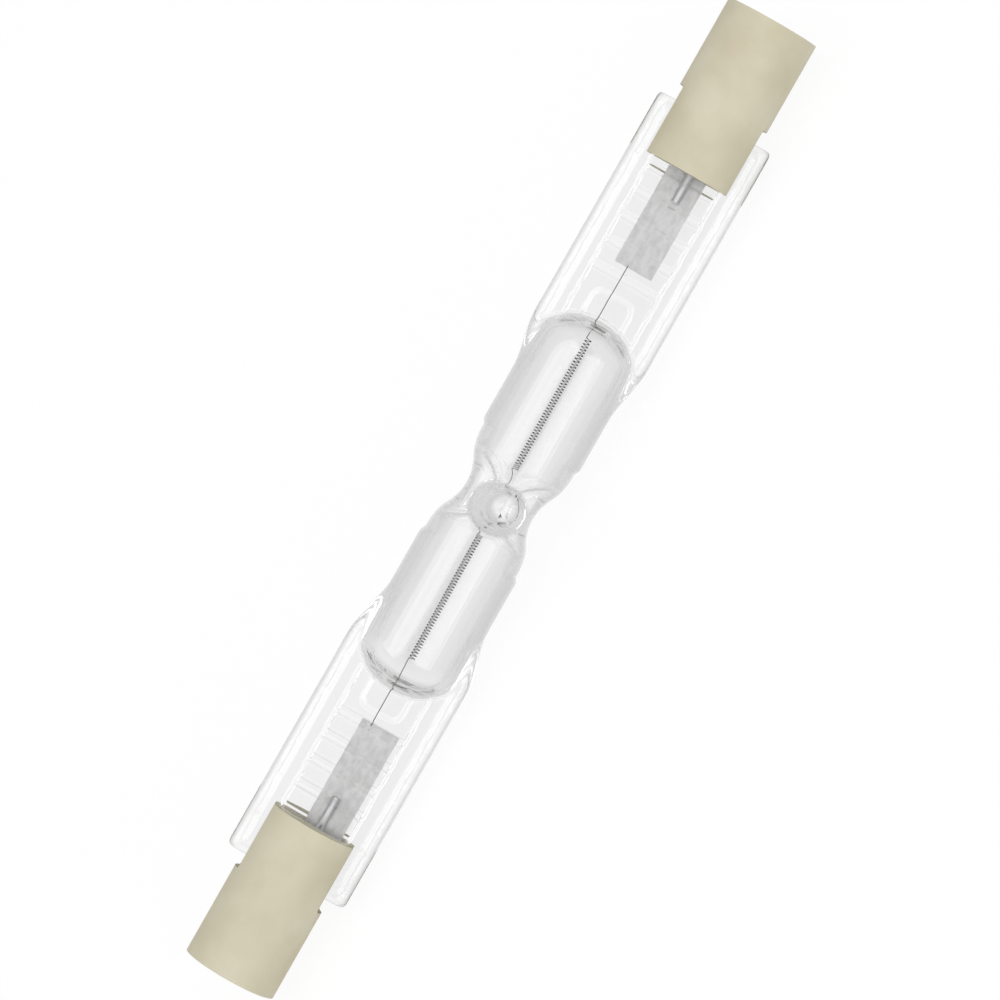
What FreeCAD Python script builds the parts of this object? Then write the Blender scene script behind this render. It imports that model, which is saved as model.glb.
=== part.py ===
"""Linear halogen bulb: a double ended quartz lamp with a ceramic cap on each pinched end.

The lamp is drawn lying along X with the flat of its pinches in the XY plane and the
sealed exhaust tip pointing up. Each end is drawn once, pointing along +X, and the left
end is the same drawing turned half way round about Z. At the end everything is rolled
about the lamp's own axis, because a loose lamp lies on its tube and on one pinch edge.
The origin is on the lamp's axis, half way between the two contacts.
"""
import FreeCAD, Part
import math
import os
import Sketcher
from FreeCAD import Placement, Rotation, Vector

os.makedirs("parts", exist_ok=True)
doc = FreeCAD.newDocument("linear_halogen_bulb")

# Driving dimensions in millimetres, each with what it measures
SIZES = [
    ("overall_length", 78.3, "end face to end face of the caps"),
    ("contact_depth", 1.7, "contact's face inside the end of its cap"),
    ("chamber_share", 0.3258, "middle of the right shoulder's ball, as a share of the half length"),
    ("shoulder_shift_left", 0.9, "left shoulder's ball further out than the right one"),
    ("tube_diameter", 7.9, "outside of the quartz tube"),
    ("tube_wall", 0.95, "wall of the tube"),
    ("waist_width", 5.45, "across the pressed waist"),
    ("waist_half_length", 4.3, "centre to the end of the pressed dent"),
    ("waist_nose", 3.6, "radius of the jaw that pressed the dent"),
    ("passage_width", 2.3, "opening left between the pressed walls"),
    ("passage_half_length", 1.45, "centre to where the opening flares"),
    ("passage_flare_length", 1.2, "length of the flare along the lamp"),
    ("passage_corner", 0.35, "round where the opening flares"),
    ("shoulder_fullness", 0.65, "radius of the ball that shapes a shoulder, beyond the tube's"),
    ("cavity_end_wall", 0.75, "glass between the shoulder and the cavity"),
    ("tip_offset_x", -0.35, "exhaust tip off the middle, along the lamp"),
    ("tip_offset_y", -0.15, "exhaust tip off the middle, across the lamp"),
    ("tip_lean", 6.0, "lean of the exhaust tip in degrees"),
    ("tip_lean_heading", -63.0, "way it leans, in degrees from the lamp's right end"),
    ("tip_base_diameter", 3.7, "exhaust tip where it leaves the tube"),
    ("tip_end_diameter", 2.5, "round end of the exhaust tip"),
    ("tip_height", 3.0, "exhaust tip above the tube"),
    ("tip_wall", 0.7, "wall of the exhaust tip"),
    ("tip_end_wall", 0.9, "glass over the sealed end of the tip"),
    ("pinch_end_gap", 0.95, "end of the pinch to the bottom of the cap's slot"),
    ("pinch_spread_right", 1.25, "right pinch wider than the tube"),
    ("pinch_spread_left", 1.7, "left pinch wider than the tube"),
    ("pinch_thickness", 2.8, "over the thick edges of a pinch"),
    ("pinch_corner", 0.5, "round of a pinch's end corners, seen from above"),
    ("pinch_edge_round", 0.42, "round along the edges of a pinch"),
    ("flare_lead", 1.15, "root of the flared flank before the middle of the ball"),
    ("flare_inset", 0.5, "root of the flared flank narrower than the tube"),
    ("flare_reach", 2.75, "middle of the ball to where the pinch has its full width"),
    ("bead_width", 0.95, "thick edge of a pinch"),
    ("band_thickness", 2.4, "over the step inside the thick edge"),
    ("band_end_land", 1.1, "full thickness left at the end of a pinch"),
    ("plate_width", 5.3, "pressed middle of a pinch"),
    ("plate_thickness", 1.9, "over the pressed middle"),
    ("step_slope", 0.6, "run of the sloped steps for each millimetre of rise"),
    ("recess_reach", 2.45, "middle of the ball to where the jaws' recesses start"),
    ("ridge_foot", 0.3, "cross ridge on the plate, along the lamp at its foot"),
    ("ridge_top", 0.12, "cross ridge at its top"),
    ("ridge_height", 0.12, "cross ridge above the plate"),
    ("ridge_pitch", 2.0, "one ridge to the next"),
    ("ridge_count", 6, "ridges on each face of a pinch"),
    ("ridge_start_right", 12.95, "first ridge to the end of the right pinch"),
    ("ridge_start_left", 12.35, "first ridge to the end of the left pinch"),
    ("ridge_back_shift", 0.3, "back ridges nearer the middle than front ones"),
    ("relief_width", 3.3, "tongue beside the shoulder"),
    ("relief_reach", 6.6, "middle of the ball to the end of the tongue"),
    ("relief_corner", 0.8, "round of the tongue's corners"),
    ("relief_height", 0.2, "tongue above the plate"),
    ("relief_slope", 0.18, "sloped rim of the tongue"),
    ("foil_width", 3.0, "sealing foil across"),
    ("foil_length", 9.5, "sealing foil along the lamp"),
    ("foil_thickness", 0.03, "sealing foil at its middle"),
    ("foil_edge_thickness", 0.012, "sealing foil at its feathered edges"),
    ("foil_feather", 0.5, "width of a feathered edge"),
    ("foil_margin_right", 2.75, "right foil to the end of its pinch"),
    ("foil_margin_left", 3.25, "left foil to the end of its pinch"),
    ("foil_offset_right", -0.13, "right foil off the axis, in its end's frame"),
    ("foil_offset_left", 0.7, "left foil off the axis, in its end's frame"),
    ("lead_diameter", 0.6, "outer lead wire"),
    ("lead_sink", 0.05, "depth of the flat pressed on the lead by the foil"),
    ("lead_overlap_right", 3.8, "right lead along its foil"),
    ("lead_overlap_left", 3.6, "left lead along its foil"),
    ("lead_offset_right", -0.32, "right lead off the axis in the glass"),
    ("lead_offset_left", 0.43, "left lead off the axis in the glass"),
    ("weld_diameter", 0.72, "nugget where the lead is welded to the foil"),
    ("weld_thickness", 0.15, "height of the nugget"),
    ("wire_width", 0.12, "filament wire, the fine primary winding taken as solid"),
    ("coil_diameter", 0.45, "outside of the filament coil"),
    ("coil_pitch", 0.225, "one turn of the coil to the next"),
    ("coil_facets", 4, "straight runs that stand for each turn"),
    ("coil_end_gap", 1.0, "outer end of a coil to the end of the cavity"),
    ("coil_inner_right", 2.2, "centre to the inner end of the right coil"),
    ("coil_inner_left", 2.5, "centre to the inner end of the left coil"),
    ("coil_axis_right", 0.16, "right coil's inner end off the axis"),
    ("coil_axis_left", 0.0, "left coil's inner end off the axis"),
    ("leg_offset_right", 0.33, "right leg off the axis, in its end's frame"),
    ("leg_offset_left", -0.02, "left leg off the axis, in its end's frame"),
    ("leg_overlap", 1.2, "leg welded along the foil"),
    ("cap_diameter", 7.1, "outside of a ceramic cap"),
    ("cap_length", 12.35, "ceramic cap from end to end"),
    ("cap_base_length", 7.05, "solid part of the cap behind the slot"),
    ("slot_clearance", 0.05, "slot wall to the pinch's thick edge"),
    ("slot_corner", 0.25, "round at the bottom of the slot"),
    ("recess_diameter", 4.2, "recess in the cap's end for the holder's pin"),
    ("recess_depth", 1.6, "depth of that recess"),
    ("button_clearance", 0.05, "pocket in the recess's floor to the contact button"),
    ("cap_bore", 1.8, "bore in the cap for the contact's stem"),
    ("button_diameter", 3.1, "contact button"),
    ("button_thickness", 0.8, "contact button from its seat to its face"),
    ("stem_clearance", 0.05, "stem to the cap's bore"),
    ("stem_length", 2.8, "stem behind the button"),
    ("cement_width", 5.1, "cement across the slot"),
    ("cement_setback", 0.5, "cement inside the cap's open end"),
    ("overlap", 0.2, "pieces of the same glass run this far into each other"),
    ("cut_margin", 1.0, "cuts stand out this far past what they cut"),
]

# Lengths that follow from the driving dimensions
DERIVED = [
    ("half_length", "=overall_length / 2"),
    ("contact_face", "=half_length - contact_depth"),
    ("slot_bottom", "=half_length - cap_base_length"),
    ("pinch_end", "=slot_bottom - pinch_end_gap"),
    ("shoulder_centre_right", "=pinch_end * chamber_share"),
    ("shoulder_centre_left", "=shoulder_centre_right + shoulder_shift_left"),
    ("shoulder_radius", "=tube_diameter / 2 + shoulder_fullness"),
    ("half_waist", "=waist_width / 2"),
    ("half_passage", "=passage_width / 2"),
    ("passage_end", "=passage_half_length + passage_flare_length"),
    ("passage_rim", "=tube_diameter / 2 - tube_wall + overlap"),
    ("cavity_radius", "=shoulder_radius - cavity_end_wall"),
    ("barrel_length", "=shoulder_centre_right + shoulder_centre_left"),
    ("tip_base_radius", "=tip_base_diameter / 2"),
    ("tip_end_radius", "=tip_end_diameter / 2"),
    ("tip_bore_base", "=tip_base_diameter / 2 - tip_wall"),
    ("tip_bore_end", "=tip_end_diameter / 2 - tip_wall"),
    ("tip_foot", "=tube_diameter / 2 - tip_wall"),
    ("tip_shoulder", "=tube_diameter / 2 + tip_height - tip_end_diameter / 2"),
    ("tip_bore_top", "=tube_diameter / 2 + tip_height - tip_end_wall"),
    ("tube_radius", "=tube_diameter / 2"),
    ("bore_radius", "=tube_diameter / 2 - tube_wall"),
    ("flare_start", "=shoulder_centre_right - flare_lead"),
    ("flare_root", "=(tube_diameter - flare_inset) / 2"),
    ("flare_end", "=shoulder_centre_right + flare_reach"),
    ("half_width_right", "=(tube_diameter + pinch_spread_right) / 2"),
    ("half_width_left", "=(tube_diameter + pinch_spread_left) / 2"),
    ("half_thickness", "=pinch_thickness / 2"),
    ("above_pinch", "=pinch_thickness"),
    ("half_band", "=band_thickness / 2"),
    ("half_plate", "=plate_thickness / 2"),
    ("recess_start", "=shoulder_centre_right + recess_reach"),
    ("band_edge_right", "=half_width_right - bead_width"),
    ("band_edge_left", "=half_width_left - bead_width"),
    ("band_rim_right", "=band_edge_right + step_slope * (above_pinch - half_band)"),
    ("band_rim_left", "=band_edge_left + step_slope * (above_pinch - half_band)"),
    ("band_end", "=pinch_end - band_end_land"),
    ("plate_edge", "=plate_width / 2"),
    ("plate_rim", "=plate_edge + step_slope * (above_pinch - half_plate)"),
    ("ridge_first_right", "=pinch_end - ridge_start_right"),
    ("ridge_first_left", "=pinch_end - ridge_start_left"),
    ("relief_edge", "=relief_width / 2"),
    ("relief_end_right", "=shoulder_centre_right + relief_reach"),
    ("relief_end_left", "=shoulder_centre_left + relief_reach"),
    ("cap_radius", "=cap_diameter / 2"),
    ("cap_start", "=half_length - cap_length"),
    ("slot_half", "=pinch_thickness / 2 + slot_clearance"),
    ("before_cap", "=cap_start - cut_margin"),
    ("recess_radius", "=recess_diameter / 2"),
    ("recess_floor", "=half_length - recess_depth"),
    ("button_pocket", "=button_diameter / 2 + button_clearance"),
    ("button_seat", "=contact_face - button_thickness"),
    ("cap_bore_radius", "=cap_bore / 2"),
    ("button_radius", "=button_diameter / 2"),
    ("stem_radius", "=cap_bore / 2 - stem_clearance"),
    ("stem_end", "=button_seat - stem_length"),
    ("lead_radius", "=lead_diameter / 2"),
    ("foil_top", "=lead_sink - lead_diameter / 2"),
    ("foil_bottom", "=lead_sink - lead_diameter / 2 - foil_thickness"),
    ("foil_edge_top",
     "=lead_sink - lead_diameter / 2 - (foil_thickness - foil_edge_thickness) / 2"),
    ("foil_edge_bottom",
     "=lead_sink - lead_diameter / 2 - (foil_thickness + foil_edge_thickness) / 2"),
    ("foil_low_right", "=foil_offset_right - foil_width / 2"),
    ("foil_low_left", "=foil_offset_left - foil_width / 2"),
    ("foil_low_flat_right", "=foil_offset_right - foil_width / 2 + foil_feather"),
    ("foil_low_flat_left", "=foil_offset_left - foil_width / 2 + foil_feather"),
    ("foil_high_flat_right", "=foil_offset_right + foil_width / 2 - foil_feather"),
    ("foil_high_flat_left", "=foil_offset_left + foil_width / 2 - foil_feather"),
    ("foil_high_right", "=foil_offset_right + foil_width / 2"),
    ("foil_high_left", "=foil_offset_left + foil_width / 2"),
    ("foil_end_right", "=pinch_end - foil_margin_right"),
    ("foil_end_left", "=pinch_end - foil_margin_left"),
    ("foil_start_right", "=foil_end_right - foil_length"),
    ("foil_start_left", "=foil_end_left - foil_length"),
    ("lead_start_right", "=foil_end_right - lead_overlap_right"),
    ("lead_start_left", "=foil_end_left - lead_overlap_left"),
    ("ridge_level", "=plate_thickness / 2 + ridge_height"),
    ("lead_front_right", "=lead_start_right - lead_diameter"),
    ("lead_front_left", "=lead_start_left - lead_diameter"),
    ("weld_radius", "=weld_diameter / 2"),
    ("slot_middle", "=(cap_start + slot_bottom) / 2"),
    ("slot_width", "=pinch_thickness + 2 * slot_clearance"),
    ("cement_start", "=cap_start + cement_setback"),
    ("cement_length", "=slot_bottom - cement_start"),
    ("coil_outer_end", "=shoulder_centre_right + cavity_radius - coil_end_gap"),
    ("leg_end_right", "=foil_start_right + leg_overlap"),
    ("leg_end_left", "=foil_start_left + leg_overlap"),
    ("leg_room_length_right", "=foil_start_right + leg_overlap - shoulder_centre_right"),
    ("leg_room_length_left", "=foil_start_left + leg_overlap - shoulder_centre_left"),
]

for end in ("right", "left"):
    for face, shift in (("front", ""), ("back", " - ridge_back_shift")):
        for edge, way in (("in", "-"), ("out", "+")):
            for level in ("foot", "top"):
                DERIVED.append((f"{face}_{level}_{edge}_{end}",
                                f"=ridge_first_{end}{shift} {way} ridge_{level} / 2"))

sheet = doc.addObject("Spreadsheet::Sheet", "sizes")
for row, (alias, value, note) in enumerate(SIZES, start=1):
    sheet.set(f"A{row}", alias)
    sheet.set(f"B{row}", str(value))
    sheet.setAlias(f"B{row}", alias)
    sheet.set(f"C{row}", note)
for row, (alias, formula) in enumerate(DERIVED, start=len(SIZES) + 1):
    sheet.set(f"A{row}", alias)
    sheet.set(f"B{row}", formula)
    sheet.setAlias(f"B{row}", alias)
doc.recompute()


def size(alias):
    """Value of one cell of the sheet."""
    return float(sheet.get(alias))


def rest_roll():
    """Angle by which the lamp rolls until it lies on its tube and its wider pinch."""
    edge = size("pinch_edge_round")
    across = max(size("half_width_right"), size("half_width_left")) - edge
    up = size("half_thickness") - edge
    drop = size("tube_radius") - edge
    return math.degrees(math.asin(drop / math.hypot(across, up)) - math.atan2(up, across))


REST = Placement(Vector(0, 0, 0), Rotation(Vector(1, 0, 0), rest_roll()))
HALF_TURN = Placement(Vector(0, 0, 0), Rotation(Vector(0, 0, 1), 180))
FLIP = Placement(Vector(0, 0, 0), Rotation(Vector(1, 0, 0), 180))
PLACE = {"right": REST, "left": REST * HALF_TURN}
ALONG_X = Rotation(Vector(0, 1, 0), 90)
NEAR = 0.005


def new_body(label, place):
    """Empty body with a label and its place in the resting lamp."""
    body = doc.addObject("PartDesign::Body", label)
    body.Label = label
    body.Placement = place
    return body


def new_sketch(body, name, role, offset=None):
    """Sketch on one of the body's own origin planes, lifted off it by one size."""
    sketch = body.newObject("Sketcher::SketchObject", name)
    plane = next(item for item in body.Origin.OriginFeatures if item.Role == role)
    sketch.AttachmentSupport = [(plane, "")]
    sketch.MapMode = "FlatFace"
    if offset is not None:
        sketch.setExpression("AttachmentOffset.Base.z", f"sizes.{offset}")
    return sketch


def signed(name):
    """Sign, size and expression of a coordinate such as "-half_band", or None on an axis."""
    if name is None:
        return 0, 0.0, ""
    alias = name.lstrip("-")
    value = size(alias)
    sign = -1 if name.startswith("-") else 1
    return (sign if value >= 0 else -sign), sign * value, alias


def fix_point(sketch, geometry, end, x_name, y_name):
    """Hold one end of a line at coordinates that are named sizes."""
    for kind, name, axis in (("DistanceX", x_name, -2), ("DistanceY", y_name, -1)):
        sign, value, alias = signed(name)
        if sign == 0:
            sketch.addConstraint(Sketcher.Constraint("PointOnObject", geometry, end, axis))
        elif sign > 0:
            index = sketch.addConstraint(
                Sketcher.Constraint(kind, -1, 1, geometry, end, abs(value)))
            sketch.setExpression(f"Constraints[{index}]", f"abs(sizes.{alias})")
        else:
            index = sketch.addConstraint(
                Sketcher.Constraint(kind, geometry, end, -1, 1, abs(value)))
            sketch.setExpression(f"Constraints[{index}]", f"abs(sizes.{alias})")


def closed_outline(sketch, corners):
    """Straight sided outline through corners given by the names of their sizes."""
    first = sketch.GeometryCount
    points = [Vector(signed(x)[1], signed(y)[1], 0) for x, y in corners]
    count = len(points)
    for index in range(count):
        sketch.addGeometry(
            Part.LineSegment(points[index], points[(index + 1) % count]), False)
    for index in range(count):
        following = first + (index + 1) % count
        sketch.addConstraint(
            Sketcher.Constraint("Coincident", first + index, 2, following, 1))
    for index, (x_name, y_name) in enumerate(corners):
        fix_point(sketch, first + index, 1, x_name, y_name)


def circle_at(sketch, centre, radius_name):
    """Circle whose centre and radius are named sizes."""
    x, y = (signed(name)[1] for name in centre)
    index = sketch.addGeometry(
        Part.Circle(Vector(x, y, 0), Vector(0, 0, 1), size(radius_name)), False)
    constraint = sketch.addConstraint(
        Sketcher.Constraint("Radius", index, size(radius_name)))
    sketch.setExpression(f"Constraints[{constraint}]", f"sizes.{radius_name}")
    fix_point(sketch, index, 3, *centre)


def near(value, target):
    """Whether a coordinate lies on a plane, but for rounding."""
    return abs(value - target) < NEAR


def edges_where(feature, wanted):
    """Names of the feature's edges whose middle passes the wanted test."""
    names = []
    for number, edge in enumerate(feature.Shape.Edges, start=1):
        if wanted(edge):
            names.append(f"Edge{number}")
    return names


def part_solid(kind, label, place, **sizes):
    """Part primitive whose sizes are bound to the sheet."""
    solid = doc.addObject(f"Part::{kind}", label)
    for name, alias in sizes.items():
        solid.setExpression(name, f"sizes.{alias}")
    solid.Placement = place
    return solid


def combined(kind, label, *members):
    """Boolean of several solids: MultiFuse, MultiCommon, or Cut of the first two."""
    result = doc.addObject(f"Part::{kind}", label)
    if kind == "Cut":
        result.Base, result.Tool = members
    else:
        result.Shapes = list(members)
    return result


def barrel(label, radius_name):
    """Round bar along the lamp, as long as the straight part of the tube."""
    start = Placement(Vector(-size("shoulder_centre_left"), 0, 0), ALONG_X)
    return part_solid("Cylinder", label, REST * start,
                      Radius=radius_name, Height="barrel_length")


def closed_end(label, side, bar_radius, ball_radius):
    """Round bar that ends in a shoulder, where it runs out of a ball."""
    middle = Vector(size(f"shoulder_centre_{side}"), 0, 0)
    bar = part_solid("Cylinder", f"{label}_bar_{side}",
                     PLACE[side] * Placement(middle, ALONG_X),
                     Radius=bar_radius, Height=ball_radius)
    ball = part_solid("Sphere", f"{label}_ball_{side}",
                      PLACE[side] * Placement(middle, Rotation()), Radius=ball_radius)
    return combined("MultiCommon", f"{label}_{side}", bar, ball)


def waist_jaw(label, place):
    """What the pressing jaw takes off one flank of the tube: a nose between two arcs."""
    depth = size("tube_radius") - size("half_waist")
    reach = size("waist_half_length")
    nose = size("waist_nose")
    turn = 2 * math.atan(depth / reach)
    outer = reach / math.sin(turn) - nose
    rim = size("tube_radius")
    half = turn / 2
    nose_side = Vector(nose * math.sin(turn), rim - depth + nose * (1 - math.cos(turn)), 0)
    nose_mid = Vector(nose * math.sin(half), rim - depth + nose * (1 - math.cos(half)), 0)
    shoulder_mid = Vector(reach - outer * math.sin(half), rim - outer * (1 - math.cos(half)), 0)
    rim_end = Vector(reach, rim, 0)
    back = Vector(reach, 2 * rim, 0)

    def across(point):
        return Vector(-point.x, point.y, 0)

    nose_bottom = Vector(0, rim - depth, 0)
    edges = [
        Part.Arc(rim_end, shoulder_mid, nose_side).toShape(),
        Part.Arc(nose_side, nose_bottom, across(nose_side)).toShape(),
        Part.Arc(across(nose_side), across(shoulder_mid), across(rim_end)).toShape(),
        Part.LineSegment(across(rim_end), across(back)).toShape(),
        Part.LineSegment(across(back), back).toShape(),
        Part.LineSegment(back, rim_end).toShape(),
    ]
    outline = Part.Face(Part.Wire(edges))
    outline.translate(Vector(0, 0, -rim))
    solid = doc.addObject("Part::Feature", label)
    solid.Shape = outline.extrude(Vector(0, 0, 2 * rim))
    solid.Placement = place
    return solid


def pressed_wall(label, place):
    """Glass that closes one flank of the bore at the waist, leaving the flared passage."""
    body = new_body(label, place)
    sketch = new_sketch(body, f"{label}_plan", "XY_Plane")
    closed_outline(sketch, [
        ("-passage_half_length", "half_passage"),
        ("passage_half_length", "half_passage"),
        ("passage_end", "passage_rim"),
        ("-passage_end", "passage_rim"),
    ])
    pad = body.newObject("PartDesign::Pad", f"{label}_pad")
    pad.Profile = sketch
    pad.SideType = "Symmetric"
    pad.setExpression("Length", "sizes.tube_diameter")
    doc.recompute()
    rounded = body.newObject("PartDesign::Fillet", f"{label}_round")
    rounded.Base = (pad, edges_where(pad, lambda edge: (
        near(edge.CenterOfMass.y, size("half_passage")) and near(edge.CenterOfMass.z, 0)
        and near(abs(edge.CenterOfMass.x), size("passage_half_length")))))
    rounded.setExpression("Radius", "sizes.passage_corner")
    return body


def tip_place(height):
    """Place on the leaning axis of the exhaust tip, at a height above the lamp's axis."""
    heading = math.radians(size("tip_lean_heading"))
    hinge = Vector(-math.sin(heading), math.cos(heading), 0)
    stand = Placement(Vector(size("tip_offset_x"), size("tip_offset_y"), 0),
                      Rotation(hinge, size("tip_lean")))
    return REST * stand * Placement(Vector(0, 0, height), Rotation())


def tip_cone(label, foot, top, base_radius, end_radius):
    """Cone on the tip's axis between two heights that are named sizes."""
    cone = part_solid("Cone", label, tip_place(size(foot)),
                      Radius1=base_radius, Radius2=end_radius)
    cone.setExpression("Height", f"sizes.{top} - sizes.{foot}")
    return cone


def pinch(side):
    """One pressed end of the tube: a slab with thick edges, stepped recesses and ridges."""
    body = new_body(f"pinch_{side}", PLACE[side])
    width = f"half_width_{side}"
    plan = new_sketch(body, f"pinch_plan_{side}", "XY_Plane")
    closed_outline(plan, [
        ("flare_start", "-flare_root"),
        ("flare_end", f"-{width}"),
        ("pinch_end", f"-{width}"),
        ("pinch_end", width),
        ("flare_end", width),
        ("flare_start", "flare_root"),
    ])
    slab = body.newObject("PartDesign::Pad", f"slab_{side}")
    slab.Profile = plan
    slab.SideType = "Symmetric"
    slab.setExpression("Length", "sizes.pinch_thickness")
    doc.recompute()

    corners = body.newObject("PartDesign::Fillet", f"pinch_corners_{side}")
    corners.Base = (slab, edges_where(slab, lambda edge: (
        near(edge.CenterOfMass.x, size("pinch_end")) and near(edge.CenterOfMass.z, 0)
        and near(abs(edge.CenterOfMass.y), size(width)))))
    corners.setExpression("Radius", "sizes.pinch_corner")
    doc.recompute()
    edges = body.newObject("PartDesign::Fillet", f"pinch_edges_{side}")
    edges.Base = (corners, edges_where(corners, lambda edge: (
        near(abs(edge.CenterOfMass.z), size("half_thickness"))
        and not near(edge.CenterOfMass.x, size("flare_start")))))
    edges.setExpression("Radius", "sizes.pinch_edge_round")
    doc.recompute()

    band = recess(body, f"band_{side}", "half_band", f"band_edge_{side}", f"band_rim_{side}")
    band.setExpression("Length", "sizes.band_end - sizes.recess_start")
    plate = recess(body, f"plate_{side}", "half_plate", "plate_edge", "plate_rim")
    plate.setExpression("Length", "sizes.pinch_end - sizes.recess_start + sizes.cut_margin")
    doc.recompute()

    tongue = relief(body, side)
    doc.recompute()
    ridges = ridge_pair(body, side)
    for before, after in ((edges, band), (band, plate)):
        if after.Shape.Volume >= before.Shape.Volume:
            raise RuntimeError(f"{after.Name} cuts nothing")
    for before, after in ((plate, tongue), (tongue, ridges)):
        if after.Shape.Volume <= before.Shape.Volume:
            raise RuntimeError(f"{after.Name} adds nothing")
    return body


def recess(body, name, floor, edge, rim):
    """Pair of slope sided channels pressed along both faces of a pinch."""
    sketch = new_sketch(body, f"{name}_section", "YZ_Plane", "recess_start")
    for face in ("", "-"):
        closed_outline(sketch, [
            (f"-{edge}", f"{face}{floor}"),
            (edge, f"{face}{floor}"),
            (rim, f"{face}above_pinch"),
            (f"-{rim}", f"{face}above_pinch"),
        ])
    pocket = body.newObject("PartDesign::Pocket", f"{name}_recess")
    pocket.Profile = sketch
    pocket.Type = "Length"
    pocket.Reversed = True
    return pocket


def ridge_pair(body, side):
    """Low cross ridges at even steps along both faces of the plate."""
    sketch = new_sketch(body, f"ridge_section_{side}", "XZ_Plane")
    for face, sign in (("front", ""), ("back", "-")):
        closed_outline(sketch, [
            (f"{face}_foot_in_{side}", f"{sign}half_plate"),
            (f"{face}_foot_out_{side}", f"{sign}half_plate"),
            (f"{face}_top_out_{side}", f"{sign}ridge_level"),
            (f"{face}_top_in_{side}", f"{sign}ridge_level"),
        ])
    pair = body.newObject("PartDesign::Pad", f"ridge_{side}")
    pair.Profile = sketch
    pair.SideType = "Symmetric"
    pair.setExpression("Length", "sizes.plate_width + 2 * sizes.overlap")
    doc.recompute()
    row = body.newObject("PartDesign::LinearPattern", f"ridges_{side}")
    row.Originals = [pair]
    row.Direction = (sketch, ["H_Axis"])
    row.Mode = "Spacing"
    row.setExpression("Offset", "sizes.ridge_pitch")
    row.setExpression("Occurrences", "sizes.ridge_count")
    doc.recompute()
    body.Tip = row
    return row


def relief(body, side):
    """Low tongue that runs from the shoulder out over the plate, on both faces."""
    sketch = new_sketch(body, f"relief_plan_{side}", "XY_Plane")
    closed_outline(sketch, [
        ("recess_start", "-relief_edge"),
        (f"relief_end_{side}", "-relief_edge"),
        (f"relief_end_{side}", "relief_edge"),
        ("recess_start", "relief_edge"),
    ])
    pad = body.newObject("PartDesign::Pad", f"relief_{side}")
    pad.Profile = sketch
    pad.SideType = "Symmetric"
    pad.setExpression("Length", "sizes.plate_thickness + 2 * sizes.relief_height")
    doc.recompute()
    level = size("half_plate") + size("relief_height")
    turned = body.newObject("PartDesign::Fillet", f"relief_corners_{side}")
    turned.Base = (pad, edges_where(pad, lambda edge: (
        near(edge.CenterOfMass.x, size(f"relief_end_{side}"))
        and near(abs(edge.CenterOfMass.y), size("relief_edge")))))
    turned.setExpression("Radius", "sizes.relief_corner")
    doc.recompute()
    sloped = body.newObject("PartDesign::Chamfer", f"relief_slope_{side}")
    sloped.Base = (turned, edges_where(turned, lambda edge: (
        near(abs(edge.CenterOfMass.z), level)
        and not near(edge.CenterOfMass.x, size("recess_start")))))
    sloped.setExpression("Size", "sizes.relief_slope")
    return sloped


def foil(side):
    """Thin sealing foil whose long edges are feathered so that the glass wets them."""
    body = new_body(f"foil_{side}", PLACE[side])
    sketch = new_sketch(body, f"foil_section_{side}", "YZ_Plane", f"foil_start_{side}")
    closed_outline(sketch, [
        (f"foil_low_{side}", "foil_edge_bottom"),
        (f"foil_low_flat_{side}", "foil_bottom"),
        (f"foil_high_flat_{side}", "foil_bottom"),
        (f"foil_high_{side}", "foil_edge_bottom"),
        (f"foil_high_{side}", "foil_edge_top"),
        (f"foil_high_flat_{side}", "foil_top"),
        (f"foil_low_flat_{side}", "foil_top"),
        (f"foil_low_{side}", "foil_edge_top"),
    ])
    pad = body.newObject("PartDesign::Pad", f"foil_pad_{side}")
    pad.Profile = sketch
    pad.setExpression("Length", "sizes.foil_length")
    return body


def outer_lead(side):
    """Straight wire from the foil to the end of the contact's stem, where it is welded."""
    body = new_body(f"outer_lead_{side}", PLACE[side])
    section = new_sketch(body, f"lead_section_{side}", "YZ_Plane", f"lead_start_{side}")
    circle_at(section, (f"lead_offset_{side}", None), "lead_radius")
    wire = body.newObject("PartDesign::Pad", f"lead_wire_{side}")
    wire.Profile = section
    wire.setExpression("Length", f"sizes.stem_end - sizes.lead_start_{side}")
    doc.recompute()
    return body


def lead_weld(body, side):
    """Flat pressed on the wire by the foil and the nugget at its welded end."""
    flat = new_sketch(body, f"lead_flat_{side}_plan", "XY_Plane", "foil_top")
    closed_outline(flat, [
        (f"lead_front_{side}", f"foil_low_{side}"),
        (f"foil_end_{side}", f"foil_low_{side}"),
        (f"foil_end_{side}", f"foil_high_{side}"),
        (f"lead_front_{side}", f"foil_high_{side}"),
    ])
    before = body.Tip
    pocket = body.newObject("PartDesign::Pocket", f"lead_flat_{side}")
    pocket.Profile = flat
    pocket.setExpression("Length", "sizes.lead_diameter")
    doc.recompute()
    if pocket.Shape.Volume >= before.Shape.Volume:
        raise RuntimeError(f"{pocket.Name} cuts nothing")
    nugget = new_sketch(body, f"weld_plan_{side}", "XY_Plane", "foil_top")
    circle_at(nugget, (f"lead_start_{side}", f"lead_offset_{side}"), "weld_radius")
    weld = body.newObject("PartDesign::Pad", f"weld_{side}")
    weld.Profile = nugget
    weld.setExpression("Length", "sizes.weld_thickness")
    doc.recompute()
    return body


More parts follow.
